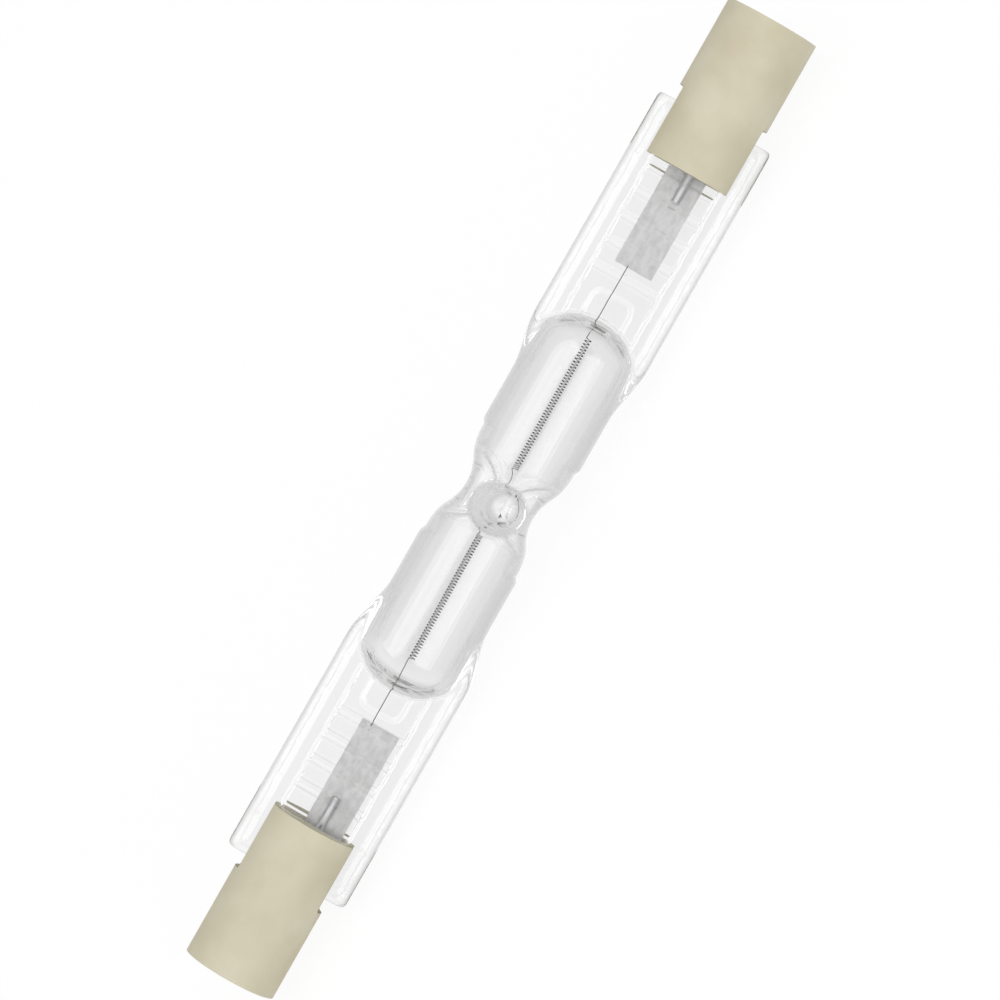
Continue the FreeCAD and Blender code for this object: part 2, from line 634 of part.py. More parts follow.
def ceramic_cap(side):
    """Steatite cap: a round body, two prongs that straddle the pinch and an end recess."""
    body = new_body(f"ceramic_cap_{side}", PLACE[side])
    half = new_sketch(body, f"cap_profile_{side}", "XZ_Plane")
    closed_outline(half, [
        ("cap_start", None),
        ("cap_start", "cap_radius"),
        ("half_length", "cap_radius"),
        ("half_length", "recess_radius"),
        ("recess_floor", "recess_radius"),
        ("recess_floor", "button_pocket"),
        ("button_seat", "button_pocket"),
        ("button_seat", "cap_bore_radius"),
        ("slot_middle", "cap_bore_radius"),
        ("slot_middle", None),
    ])
    turned = body.newObject("PartDesign::Revolution", f"cap_turned_{side}")
    turned.Profile = half
    turned.ReferenceAxis = (half, ["H_Axis"])
    doc.recompute()
    opening = new_sketch(body, f"slot_section_{side}", "XZ_Plane")
    closed_outline(opening, [
        ("before_cap", "-slot_half"),
        ("slot_bottom", "-slot_half"),
        ("slot_bottom", "slot_half"),
        ("before_cap", "slot_half"),
    ])
    slot = body.newObject("PartDesign::Pocket", f"slot_{side}")
    slot.Profile = opening
    slot.SideType = "Symmetric"
    slot.setExpression("Length", "sizes.cap_diameter + 2 * sizes.cut_margin")
    doc.recompute()
    if slot.Shape.Volume >= turned.Shape.Volume:
        raise RuntimeError(f"{slot.Name} cuts nothing")
    corners = body.newObject("PartDesign::Fillet", f"slot_corners_{side}")
    corners.Base = (slot, edges_where(slot, lambda edge: (
        near(edge.CenterOfMass.x, size("slot_bottom"))
        and near(abs(edge.CenterOfMass.z), size("slot_half")))))
    corners.setExpression("Radius", "sizes.slot_corner")
    doc.recompute()
    return body


def contact(side):
    """Contact button with a flat face, on a stem whose end the lead is welded to."""
    body = new_body(f"contact_{side}", PLACE[side])
    half = new_sketch(body, f"contact_profile_{side}", "XZ_Plane")
    closed_outline(half, [
        ("stem_end", None),
        ("stem_end", "stem_radius"),
        ("button_seat", "stem_radius"),
        ("button_seat", "button_radius"),
        ("contact_face", "button_radius"),
        ("contact_face", None),
    ])
    turned = body.newObject("PartDesign::Revolution", f"contact_turned_{side}")
    turned.Profile = half
    turned.ReferenceAxis = (half, ["H_Axis"])
    return body


def cement(side, glass, lead, cap):
    """Cement that fills the cap's slot round the pinch and the lead."""
    low = Placement(Vector(size("cement_start"), -size("cement_width") / 2,
                           -size("slot_half")), Rotation())
    block = part_solid("Box", f"cement_block_{side}", PLACE[side] * low,
                       Length="cement_length", Width="cement_width", Height="slot_width")
    around = combined("MultiFuse", f"cement_mould_{side}", glass, lead, cap)
    return combined("Cut", f"cement_{side}", block, around)


def coil_points(start, end, turns, facets):
    """Points of a winding about the line from start to end, a few to each turn."""
    radius = (size("coil_diameter") - size("wire_width")) / 2
    steps = turns * facets
    points = []
    for step in range(steps + 1):
        angle = 2 * math.pi * step / facets
        along = start + (end - start) * (step / steps)
        points.append(along + Vector(0, radius * math.cos(angle), radius * math.sin(angle)))
    return points


def square_ring(centre):
    """Corners of the wire's section where it starts off along the lamp."""
    half = size("wire_width") / 2
    return [centre + Vector(0, y * half, z * half)
            for y, z in ((-1, -1), (1, -1), (1, 1), (-1, 1))]


def wire_sides(ring, points, last_run):
    """Sides of a square wire along straight runs, mitred where they meet."""
    runs = [(after - before).normalize() for before, after in zip(points, points[1:])]
    faces = []
    for index, run in enumerate(runs):
        following = runs[index + 1] if index + 1 < len(runs) else last_run
        mitre = run + following
        corner = points[index + 1]
        moved = [point + run * ((corner - point).dot(mitre) / run.dot(mitre))
                 for point in ring]
        for side in range(4):
            after = (side + 1) % 4
            quad = [ring[side], ring[after], moved[after], moved[side], ring[side]]
            faces.append(Part.Face(Part.makePolygon(quad)))
        ring = moved
    return faces, ring


def link_sides(ring, other):
    """Sides of the straight link between the coils, turned as little as they can be."""
    turn = min(range(4), key=lambda step: sum(
        ring[corner].distanceToPoint(other[(corner + step) % 4]) for corner in range(4)))
    other = other[turn:] + other[:turn]
    faces = []
    for side in range(4):
        after = (side + 1) % 4
        for triangle in ((ring[side], ring[after], other[side]),
                         (ring[after], other[after], other[side])):
            faces.append(Part.Face(Part.makePolygon([*triangle, triangle[0]])))
    return faces


def filament():
    """One wire: a leg, two coils joined by a straight link through the waist, a leg."""
    height = size("foil_top") + size("wire_width") / 2
    radius = (size("coil_diameter") - size("wire_width")) / 2
    facets = int(size("coil_facets"))
    routes, sides, rings = [], [], []
    for side, way in (("right", 1), ("left", -1)):
        leg = way * size(f"leg_offset_{side}")
        inner = size(f"coil_inner_{side}")
        outer = size("coil_outer_end")
        turns = round((outer - inner) / size("coil_pitch"))
        start = Vector(way * outer, leg - radius, height)
        end = Vector(way * inner, size(f"coil_axis_{side}"), height)
        first = Vector(way * size(f"leg_end_{side}"), leg, height)
        routes.append([first] + coil_points(start, end, turns, facets))
    link = (routes[1][-1] - routes[0][-1]).normalize()
    for route, last_run in zip(routes, (link, -link)):
        ring = square_ring(route[0])
        faces, last_ring = wire_sides(ring, route, last_run)
        sides += [Part.Face(Part.makePolygon(ring + ring[:1]))] + faces
        rings.append(last_ring)
    wire = doc.addObject("Part::Feature", "filament")
    wire.Shape = Part.Solid(Part.Shell(sides + link_sides(*rings)))
    wire.Placement = REST
    return wire


def leg_room(side):
    """Straight hole that a filament leg fills where it runs through the pinch."""
    corner = Placement(
        Vector(size(f"shoulder_centre_{side}"),
               size(f"leg_offset_{side}") - size("wire_width") / 2, size("foil_top")),
        Rotation())
    return part_solid("Box", f"leg_room_{side}", PLACE[side] * corner,
                      Length=f"leg_room_length_{side}", Width="wire_width",
                      Height="wire_width")


def envelope_outside():
    """Outer form of the quartz: pressed tube, shoulders, pinches and the sealed tip."""
    ends = [closed_end("shoulder", side, "tube_radius", "shoulder_radius")
            for side in PLACE]
    whole = combined("MultiFuse", "unpressed_tube", barrel("tube_bar", "tube_radius"), *ends)
    jaws = combined("MultiFuse", "waist_jaws", waist_jaw("jaw_front", REST),
                    waist_jaw("jaw_back", REST * FLIP))
    pressed = combined("Cut", "pressed_tube", whole, jaws)
    shank = tip_cone("tip_shank", "tip_foot", "tip_shoulder", "tip_base_radius",
                     "tip_end_radius")
    ball = part_solid("Sphere", "tip_end", tip_place(size("tip_shoulder")),
                      Radius="tip_end_radius")
    return combined("MultiFuse", "envelope_outside", pressed, shank, ball,
                    *[pinch(side) for side in PLACE])


def envelope_inside():
    """Gas space: two chambers, the passage at the waist and the bore of the tip."""
    ends = [closed_end("cavity", side, "bore_radius", "cavity_radius") for side in PLACE]
    whole = combined("MultiFuse", "unpressed_bore", barrel("bore_bar", "bore_radius"), *ends)
    walls = combined("MultiFuse", "pressed_walls", pressed_wall("wall_front", REST),
                     pressed_wall("wall_back", REST * FLIP))
    pressed = combined("Cut", "pressed_bore", whole, walls)
    bore = tip_cone("tip_bore", "half_passage", "tip_bore_top", "tip_bore_base",
                    "tip_bore_end")
    return combined("MultiFuse", "envelope_inside", pressed, bore)


foils = {side: foil(side) for side in PLACE}
leads = {side: lead_weld(outer_lead(side), side) for side in PLACE}
outside = envelope_outside()
inside = envelope_inside()
hollow = combined("MultiFuse", "envelope_hollow", inside, *foils.values(), *leads.values(),
                  *[leg_room(side) for side in PLACE])
envelope = combined("Cut", "quartz_envelope", outside, hollow)
caps = {side: ceramic_cap(side) for side in PLACE}
contacts = [contact(side) for side in PLACE]
cements = [cement(side, outside, leads[side], caps[side]) for side in PLACE]
parts = [envelope, filament(), *foils.values(), *leads.values(), *caps.values(),
         *contacts, *cements]
doc.recompute()

for item in doc.Objects:
    if "Invalid" in item.State or "Error" in item.State:
        raise RuntimeError(f"{item.Label}: {item.State}")
for item in parts:
    if item.Shape.isNull() or not item.Shape.isValid():
        raise RuntimeError(f"{item.Label} has no valid shape")
    if len(item.Shape.Solids) != 1:
        raise RuntimeError(f"{item.Label} has {len(item.Shape.Solids)} solids")
for item in parts:
    item.Shape.exportStep(f"parts/{item.Label}.step")
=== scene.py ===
"""Linear halogen bulb: materials, finer glass and coils, floor, light and camera."""
import math

import bpy
import numpy as np
from mathutils import Matrix, Vector

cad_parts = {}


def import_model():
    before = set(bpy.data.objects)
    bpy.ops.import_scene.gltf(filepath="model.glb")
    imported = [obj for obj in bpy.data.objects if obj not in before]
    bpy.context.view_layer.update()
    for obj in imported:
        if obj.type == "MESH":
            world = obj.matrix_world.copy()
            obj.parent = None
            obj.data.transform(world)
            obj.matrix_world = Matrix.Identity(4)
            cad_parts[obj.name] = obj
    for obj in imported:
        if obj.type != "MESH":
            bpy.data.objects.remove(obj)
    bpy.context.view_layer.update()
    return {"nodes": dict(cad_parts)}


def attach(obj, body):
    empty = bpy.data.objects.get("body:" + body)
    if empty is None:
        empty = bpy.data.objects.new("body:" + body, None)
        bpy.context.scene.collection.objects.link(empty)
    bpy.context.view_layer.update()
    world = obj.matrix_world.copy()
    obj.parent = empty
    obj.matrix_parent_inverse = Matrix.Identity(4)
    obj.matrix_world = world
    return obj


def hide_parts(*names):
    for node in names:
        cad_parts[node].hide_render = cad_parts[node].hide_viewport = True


MM = 0.001
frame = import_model()

# How the lamp lies, in millimetres and radians
FLOOR_HEIGHT = -3.95
ROLL = math.radians(39.25)

# Glass tube in millimetres, and the waist that two jaws pressed into it
TUBE_RADIUS = 3.95
BORE_RADIUS = 3.0
WAIST_HALF_WIDTH = 2.725
WAIST_HALF_LENGTH = 4.3
WAIST_NOSE = 3.6
WAIST_OPENING = 2
WAIST_BLEND = 0.8

# Passage for the gas through the waist, and where along the lamp it opens to the bore
PASSAGE_HALF_WIDTH = 1.15
PASSAGE_HALF_HEIGHT = 2.5
PASSAGE_START = 0.55
PASSAGE_END = 2.95

# Folds that fan out from the waist, as distances along and across from its middle
CREASE_START = (1.3, 1.1)
CREASE_END = (2.35, 2.75)
CREASE_BOW = 0.12
CREASE_DEPTH = 0.2
CREASE_WIDTH = 0.15

# Shoulders: middle of the balls that shape each one, their radii outside and inside
SHOULDER_CENTRE = {1: 10.15, -1: 11.05}
SHOULDER_RADIUS = 4.6
CAVITY_RADIUS = 3.85
SHOULDER_BLEND = 0.5

# Sealed exhaust tip: the foot and the end of its leaning axis, and its radii
TIP_BASE = Vector((-0.42, -0.2, 3.9))
TIP_END = Vector((-0.1, -0.52, 5.5))
TIP_BASE_RADIUS = 1.85
TIP_END_RADIUS = 1.25
TIP_DEPTH = 2.5
TIP_BLEND = 0.45

# Bore of the exhaust tip, which starts in the passage
TIP_WALL = 0.7
TIP_BORE_TAPER = 0.2
TIP_BORE_HEIGHT = 1.9
TIP_BORE_DEPTH = 3.0
TIP_BORE_TOP_BLEND = 0.6
TIP_BORE_FOOT_BLEND = 0.2
TIP_BORE_BLEND = 0.7

# Pinches: each way along the lamp has its own width
PINCH_END = 31.15
PINCH_HALF_WIDTH = {1: 4.575, -1: 4.8}
PINCH_HALF_THICKNESS = 1.4
PINCH_EDGE_BLEND = 0.9
PINCH_END_BLEND = 0.7
PINCH_TUBE_BLEND = 0.35
FLARE_START = 9.0
FLARE_END = 12.9
FLARE_ROOT = 3.7
FLARE_EASE = 0.6

# Steps on each face of a pinch: thick bead at the edge, lower band, plate in the middle
RECESS_START = 12.4
RECESS_SLOPE = 0.5
BEAD_WIDTH = 0.95
BEAD_SLOPE = 0.18
BEAD_WAVER = 0.07
BAND_LEVEL = 1.2
BAND_END = 29.95
BAND_END_SLOPE = 0.35
PLATE_HALF_WIDTH = 2.65
PLATE_LEVEL = 0.95
PLATE_SLOPE = 0.2
PLATE_WAVER = 0.05

# Cross ridges on the plate, and the tongue-shaped relief beside the shoulder
RIDGE_FIRST = {1: 18.2, -1: 18.8}
RIDGE_PITCH = 2.0
RIDGE_COUNT = 6
RIDGE_HEIGHT = 0.15
RIDGE_WIDTH = 0.14
RIDGE_BACK_SHIFT = 0.3
TONGUE_HALF_WIDTH = 1.65
TONGUE_END = {1: 16.75, -1: 17.65}
TONGUE_CORNER = 0.8
TONGUE_HEIGHT = 0.18
TONGUE_SLOPE = (-0.25, 0.05)

# Waver of pressed borders: radians for each millimetre and for each seed, and strength
WAVES = ((1.9, 5, 1.0), (4.3, 3, 0.7), (9.1, 7, 0.4))

# Half of the flat line that the skin's rays leave, which widens from tube to pinch
TUBE_FLAT = 2.3
PINCH_FLAT_INSET = 1.2
WIDENING_START = 8.5
WIDENING_END = 13.5
END_FLAT_INSET = 0.35
END_INSET_LENGTH = 0.8

# Half of the flat line that the rays in the gas leave, shorter at the waist and the domes
BORE_FLAT = 1.6
PASSAGE_FLAT = 0.5
PASSAGE_FLAT_SPAN = (1.3, 3.0)
DOME_END_FLAT = 0.15
DOME_FLAT_START = 1.0

# Search along the rays, and the counts of rays on the flat line and round its ends
RAY_LENGTH = 8.0
HALVINGS = 26
SKIN_RAYS = (62, 22)
HOLLOW_RAYS = (52, 14)

# Spans along one half of the glass, each as start, end and step between its rings
SKIN_TUBE_SPANS = ((0.0, 3.0, 0.1), (3.0, 5.0, 0.2), (5.0, 8.8, 0.6))
SKIN_SHOULDER_STEP = 0.15
RIDGE_BEFORE = 0.5
RIDGE_AFTER = 0.25
RIDGE_STEP = 0.06
PLATE_STEP = 0.2
SKIN_END_STEP = 0.05
SKIN_END_GAP = 0.19
HOLLOW_WAIST_SPAN = (0.0, 3.2, 0.08)
BORE_STEP = 0.5
DOME_STEP = 0.22
DOME_CROWN = 0.6
DOME_CROWN_STEP = 0.05
DOME_END_GAP = 0.16

# Coils of the filament: ends of each axis, and a wire that is itself wound fine
RIGHT_COIL = ((13.0, 0.165, -0.19), (2.2, 0.16, -0.19))
LEFT_COIL = ((-13.0, -0.145, -0.19), (-2.5, 0.0, -0.19))
COIL_PITCH = 0.225
COIL_RADIUS = 0.215
PRIMARY_PITCH = 0.036
PRIMARY_RADIUS = 0.017
PRIMARY_WIRE = 0.021
PRIMARY_POINTS = 5
PRIMARY_SIDES = 3

# Plain wires of the filament: the bends of the two legs and of the link between the coils
RIGHT_LEG = ((19.05, 0.34, -0.21), (18.8, 0.34, -0.19), (16.6, 0.35, -0.19),
             (16.3, 0.37, -0.18), (14.2, 0.34, -0.19))
LINK = ((2.05, 0.38, -0.1), (1.8, 0.2, -0.05), (1.2, 0.05, -0.15), (0.0, 0.0, -0.25),
        (-1.6, 0.0, -0.2), (-2.3, 0.1, -0.15))
LEFT_LEG = ((-14.5, 0.0, -0.19), (-14.9, -0.05, -0.18), (-15.4, 0.05, -0.19),
            (-18.2, 0.04, -0.19), (-18.35, 0.0, -0.2), (-18.7, 0.03, -0.21))
LEG_WIRE = 0.032
LEG_SIDES = 8
LEG_POINTS = 60
LEG_UP = (0.0, 0.3, 1.0)
BEND_PASSES = 4

# Glass look, painted shade: pairs of a place, from square on at 0 to edge on at 1, and its
# grey
SKIN_SHADE_GREYS = ((0.0, 0.85), (0.03, 0.9), (0.1, 0.9), (0.17, 0.78), (0.25, 0.67),
              (0.38, 0.51), (0.6, 0.5), (1.0, 0.6))
PINCH_SHADE_GREYS = ((0.0, 0.86), (0.03, 0.93), (0.22, 0.88), (0.4, 0.56), (0.7, 0.5),
               (1.0, 0.55))
BORE_SHADE_GREYS = ((0.0, 0.82), (0.5, 1.0))
PINCH_LOOK_START = 12.3
PINCH_LOOK_END = 13.6
QUARTZ_IOR = 1.458

# Unevenness of the glass, and the step of a light path at which the glass glows white:
# painted light that stands in for the white room
GLASS_WAVE = 0.003
GLASS_WAVE_SCALE = 600.0
GLASS_WAVE_DETAIL = 2.0
GLASS_WAVE_STRETCH = (0.35, 1, 1)
DEEP_PATH = 5
PAINTED_GLOW_LEVEL = 0.9
HALF_STEP = 0.5

# Solid looks: detail of the noise in their patches and grain, and its two tones
PATCH_DETAIL = 4.0
GRAIN_DETAIL = 6.0
DARK_UP_TO = 0.35
LIGHT_FROM = 0.65
UNSTRETCHED = (1, 1, 1)

# Camera: its lean is to the lamp's right end, and the lamp turns clockwise from upright
CAMERA_DISTANCE = 412.0
CAMERA_LEAN = math.radians(2.7)
PICTURE_TURN = math.radians(29.706)
PIXELS_PER_MM = 14.0
PICTURE_WIDTH = 1000
SENSOR_WIDTH = 36.0

# Nearest and furthest distance that the camera sees, and the floor's side, in metres
CLIP_START = 0.01
CLIP_END = 10
FLOOR_SIZE = 4

# Colours of the room and the floor, and how white the floor is where it is seen
WHITE = (1, 1, 1, 1)
BLACK = (0, 0, 0, 1)
ROOM_GREY = (0.45, 0.45, 0.45, 1)
FLOOR_GREY = (0.8, 0.8, 0.8, 1)
FLOOR_WHITE = 1.03
FLOOR_WHITE_SHARE = 0.9

# Soft boxes, in metres, watts and radians off the line of sight
BOX_DISTANCE = 0.5
BOX_WIDTH = 0.35
BOX_HEIGHT = 0.6
BOX_POWER = 1.2
BOX_ANGLE = math.radians(38)


def smooth_max(a, b, reach):
    """Larger of two distances, blended where they are within a reach of each other."""
    overlap = np.maximum(reach - np.abs(a - b), 0) / reach
    return np.maximum(a, b) + overlap * overlap * reach / 4


def smooth_min(a, b, reach):
    """Smaller of two distances, blended where they are within a reach of each other."""
    return -smooth_max(-a, -b, reach)


def ramp(value, start, end):
    """Soft step from 0 at start to 1 at end."""
    share = np.clip((value - start) / (end - start), 0, 1)
    return share * share * (3 - 2 * share)


def waver(x, seed, amount):
    """Slow irregular waver along the lamp, as hot pressed glass has."""
    waves = sum(share * np.sin(rate * x + shift * seed) for rate, shift, share in WAVES)
    return amount * waves / sum(share for _, _, share in WAVES)


def waist_profile(x):
    """Half width left by the jaws: a nose between two arcs, open beyond its ends."""
    depth = TUBE_RADIUS - WAIST_HALF_WIDTH
    turn = 2 * math.atan(depth / WAIST_HALF_LENGTH)
    outer = WAIST_HALF_LENGTH / math.sin(turn) - WAIST_NOSE
    away = np.abs(x)
    nose_rise = np.sqrt(np.maximum(WAIST_NOSE ** 2 - away ** 2, 0))
    nose = WAIST_HALF_WIDTH + WAIST_NOSE - nose_rise
    rest = np.clip(WAIST_HALF_LENGTH - away, 0, outer)
    flank = TUBE_RADIUS - outer + np.sqrt(outer ** 2 - rest ** 2)
    between = np.where(away < WAIST_NOSE * math.sin(turn), nose, flank)
    return between + WAIST_OPENING * np.maximum(away - WAIST_HALF_LENGTH, 0)


def crease(x, y):
    """Depth of the four narrow folds that fan out from the waist on each face."""
    start, end = np.array(CREASE_START), np.array(CREASE_END)
    run = end - start
    dx, dy = np.abs(x) - start[0], np.abs(y) - start[1]
    share = np.clip((dx * run[0] + dy * run[1]) / run.dot(run), 0, 1)
    bow = CREASE_BOW * np.sin(math.pi * share)
    side = (dx * run[1] - dy * run[0]) / math.hypot(*run) - bow
    ahead = np.hypot(dx - share * run[0], dy - share * run[1])
    off = np.where((share > 0) & (share < 1), np.abs(side), ahead)
    return CREASE_DEPTH * np.exp(-(off / CREASE_WIDTH) ** 2)


def shoulder(x, off, way, radius):
    """Distance to a rod round the lamp's axis that ends in a ball at the shoulder."""
    beyond = np.maximum(np.abs(x) - SHOULDER_CENTRE[way], 0)
    return np.sqrt(beyond ** 2 + off * off) - radius


def tip_distances(x, y, z):
    """Distance off the leaning axis of the exhaust tip, and height along it."""
    lean = (TIP_END - TIP_BASE).normalized()
    dx, dy, dz = x - TIP_BASE.x, y - TIP_BASE.y, z - TIP_BASE.z
    along = dx * lean.x + dy * lean.y + dz * lean.z
    off = np.sqrt(np.maximum(dx * dx + dy * dy + dz * dz - along * along, 0))
    return off, along


def tip_outside(x, y, z):
    """Distance to the outside of the exhaust tip: a cone with a round end."""
    off, along = tip_distances(x, y, z)
    height = (TIP_END - TIP_BASE).length
    share = np.clip(along / height, 0, 1)
    cone = off - (TIP_BASE_RADIUS + (TIP_END_RADIUS - TIP_BASE_RADIUS) * share)
    ball = np.sqrt(off * off + (along - height) ** 2) - TIP_END_RADIUS
    return np.maximum(np.where(along > height, ball, cone), -TIP_DEPTH - along)


def tip_inside(x, y, z):
    """Distance to the bore of the exhaust tip, which is blind at its top."""
    off, along = tip_distances(x, y, z)
    radius = TIP_BASE_RADIUS - TIP_WALL - TIP_BORE_TAPER * np.maximum(along, 0)
    bore = smooth_max(off - radius, along - TIP_BORE_HEIGHT, TIP_BORE_TOP_BLEND)
    return smooth_max(bore, -TIP_BORE_DEPTH - along, TIP_BORE_FOOT_BLEND)


def pinch_half_width(x, way):
    """Half width of a pinch with its flared flank."""
    share = np.clip((np.abs(x) - FLARE_START) / (FLARE_END - FLARE_START), 0, 1)
    eased = share * (1 + FLARE_EASE - FLARE_EASE * share)
    return FLARE_ROOT + (PINCH_HALF_WIDTH[way] - FLARE_ROOT) * eased


def ridges(x, way, face):
    """Height of the cross ridges on one face of a pinch."""
    first = RIDGE_FIRST[way] - (RIDGE_BACK_SHIFT if face < 0 else 0)
    height = np.zeros_like(x)
    for number in range(RIDGE_COUNT):
        middle = first + number * RIDGE_PITCH
        height += RIDGE_HEIGHT * np.exp(-((np.abs(x) - middle) / RIDGE_WIDTH) ** 2)
    return height


def tongue(x, y, way):
    """Height of the tongue-shaped relief, which has round corners and a soft slope."""
    beside = np.maximum(np.abs(y) - TONGUE_HALF_WIDTH + TONGUE_CORNER, 0)
    ahead = np.maximum(np.abs(x) - TONGUE_END[way] + TONGUE_CORNER, 0)
    off = np.sqrt(beside ** 2 + ahead ** 2) - TONGUE_CORNER
    return TONGUE_HEIGHT * (1 - ramp(off, *TONGUE_SLOPE))


def pinch_level(x, y, way, face):
    """Half thickness of a pinch: thick edges, a band, the plate, its ridges and tongue."""
    away = np.abs(x)
    across = np.abs(y)
    side = np.sign(y)
    bead = pinch_half_width(x, way) - BEAD_WIDTH + waver(x, way + side + face, BEAD_WAVER)
    plate = PLATE_HALF_WIDTH + waver(x, way - side + 2 * face, PLATE_WAVER)
    in_recess = ramp(away, RECESS_START, RECESS_START + RECESS_SLOPE)
    in_band = in_recess * (1 - ramp(away, BAND_END, BAND_END + BAND_END_SLOPE))
    on_band = in_band * (1 - ramp(across, bead, bead + BEAD_SLOPE))
    on_plate = in_recess * (1 - ramp(across, plate, plate + PLATE_SLOPE))
    level = PINCH_HALF_THICKNESS - (PINCH_HALF_THICKNESS - BAND_LEVEL) * on_band
    plate_level = PLATE_LEVEL + ridges(x, way, face) + tongue(x, y, way)
    return level + (plate_level - level) * on_plate


def outside(x, y, z, way):
    """Signed distance, near enough, to the outside of the glass."""
    off = np.sqrt(y * y + z * z)
    tube = smooth_max(off - TUBE_RADIUS, np.abs(y) - waist_profile(x), WAIST_BLEND)
    tube = tube + crease(x, y)
    tube = smooth_max(tube, shoulder(x, off, way, SHOULDER_RADIUS), SHOULDER_BLEND)
    tube = smooth_min(tube, tip_outside(x, y, z), TIP_BLEND)
    level = np.where(z < 0, pinch_level(x, y, way, -1), pinch_level(x, y, way, 1))
    beside = np.abs(y) - pinch_half_width(x, way)
    slab = smooth_max(np.abs(z) - level, beside, PINCH_EDGE_BLEND)
    slab = smooth_max(slab, np.abs(x) - PINCH_END, PINCH_END_BLEND)
    slab = np.maximum(slab, FLARE_START - np.abs(x))
    return smooth_min(tube, slab, PINCH_TUBE_BLEND)


def inside(x, y, z, way):
    """Signed distance, near enough, to the gas space: a bore that turns oval at the waist."""
    share = ramp(np.abs(x), PASSAGE_START, PASSAGE_END)
    half_width = PASSAGE_HALF_WIDTH + (BORE_RADIUS - PASSAGE_HALF_WIDTH) * share
    half_height = PASSAGE_HALF_HEIGHT + (BORE_RADIUS - PASSAGE_HALF_HEIGHT) * share
    oval = np.sqrt((y / half_width) ** 2 + (z / half_height) ** 2)
    bore = (oval - 1) * half_width
    dome = shoulder(x, np.sqrt(y * y + z * z), way, CAVITY_RADIUS)
    bore = smooth_max(bore, dome, SHOULDER_BLEND)
    return smooth_min(bore, tip_inside(x, y, z), TIP_BORE_BLEND)


def surface_grid(shape, stations, reach, flat_count, fan_count):
    """Closed rings of points on a shape, one at each station along the lamp.

    Each ring is found along rays that leave a flat line across the lamp: straight up
    and down from the line itself, and fanned out round its two ends.
    """
    flat = np.linspace(-1, 1, flat_count + 1)[1:-1]
    fan = np.linspace(0, math.pi, fan_count + 1)
    starts = np.concatenate([-flat, np.full(fan.size, -1.0), flat, np.full(fan.size, 1.0)])
    angles = np.concatenate([np.full(flat.size, math.pi / 2), math.pi / 2 + fan,
                             np.full(flat.size, -math.pi / 2), fan - math.pi / 2])
    step_y, step_z = np.cos(angles), np.sin(angles)
    rings = []
    for x, half in zip(stations, reach):
        way = 1 if x > 0 else -1
        column = np.full(starts.shape, x)
        origin = starts * half
        near = np.zeros(starts.shape)
        far = np.full(starts.shape, RAY_LENGTH)
        for _ in range(HALVINGS):
            middle = (near + far) / 2
            solid = shape(column, origin + middle * step_y, middle * step_z, way) < 0
            near = np.where(solid, middle, near)
            far = np.where(solid, far, middle)
        rings.append(np.stack([column, origin + near * step_y, near * step_z], axis=1))
    return np.array(rings)


def end_strip(row_start, first, around):
    """Faces across one end ring, from the middle of one fan to the middle of the other."""
    faces = []
    for step in range(around // 2):
        corners = (first - step, first - step - 1, first + step + 1, first + step)
        face = list(dict.fromkeys(row_start + corner % around for corner in corners))
        if len(face) > 2:
            faces.append(tuple(face))
    return faces


def grid_faces(rings, offset):
    """Quads between neighbouring rings, and strips that close both end rings."""
    count, around = rings.shape[:2]
    faces = []
    for row in range(count - 1):
        low = offset + row * around
        for column in range(around):
            after = (column + 1) % around
            faces.append((low + column, low + after, low + around + after,
                          low + around + column))
    # The column at the middle of a fan lies furthest across, level with the flat line
    first = int(np.argmax(rings[count // 2][:, 1]))
    faces += end_strip(offset, first, around)
    far_end = end_strip(offset + (count - 1) * around, first, around)
    return faces + [tuple(reversed(face)) for face in far_end]


def stations_between(spans):
    """Stations from spans of a start, an end and a step."""
    values = []
    for start, end, step in spans:
        count = max(1, round((end - start) / step))
        values += [start + (end - start) * index / count for index in range(count)]
    return values + [spans[-1][1]]


def skin_stations(way):
    """Stations of the skin along one half, closer where it has more shape."""
    shoulder_start = SKIN_TUBE_SPANS[-1][1]
    spans = [*SKIN_TUBE_SPANS,
             (shoulder_start, RIDGE_FIRST[way] - RIDGE_BEFORE, SKIN_SHOULDER_STEP)]
    rounding_start = PINCH_END - PINCH_END_BLEND
    for number in range(RIDGE_COUNT):
        middle = RIDGE_FIRST[way] + number * RIDGE_PITCH
        after = middle + RIDGE_AFTER
        last = number == RIDGE_COUNT - 1
        following = rounding_start if last else middle + RIDGE_PITCH - RIDGE_BEFORE
        spans.append((middle - RIDGE_BEFORE, after, RIDGE_STEP))
        spans.append((after, following, PLATE_STEP))
    spans.append((rounding_start, PINCH_END - SKIN_END_GAP, SKIN_END_STEP))
    return [way * value for value in stations_between(spans)]


def hollow_stations(way):
    """Stations of the gas space along one half, closer at the waist and in the dome."""
    centre = SHOULDER_CENTRE[way]
    end = centre + CAVITY_RADIUS
    spans = [HOLLOW_WAIST_SPAN,
             (HOLLOW_WAIST_SPAN[1], centre, BORE_STEP),
             (centre, end - DOME_CROWN, DOME_STEP),
             (end - DOME_CROWN, end - DOME_END_GAP, DOME_CROWN_STEP)]
    return [way * value for value in stations_between(spans)]


def both_ways(half):
    """Stations of both halves in one rising row."""
    return np.array(sorted(half(-1))[:-1] + half(1))


def glass_skin():
    """Rings of the outer skin."""
    stations = both_ways(skin_stations)
    away = np.abs(stations)
    pressed = ramp(away, WIDENING_START, WIDENING_END)
    widths = np.where(stations > 0, pinch_half_width(stations, 1),
                      pinch_half_width(stations, -1))
    reach = TUBE_FLAT + (widths - PINCH_FLAT_INSET - TUBE_FLAT) * pressed
    reach -= END_FLAT_INSET * ramp(away, PINCH_END - END_INSET_LENGTH, PINCH_END)
    return surface_grid(outside, stations, reach, *SKIN_RAYS)


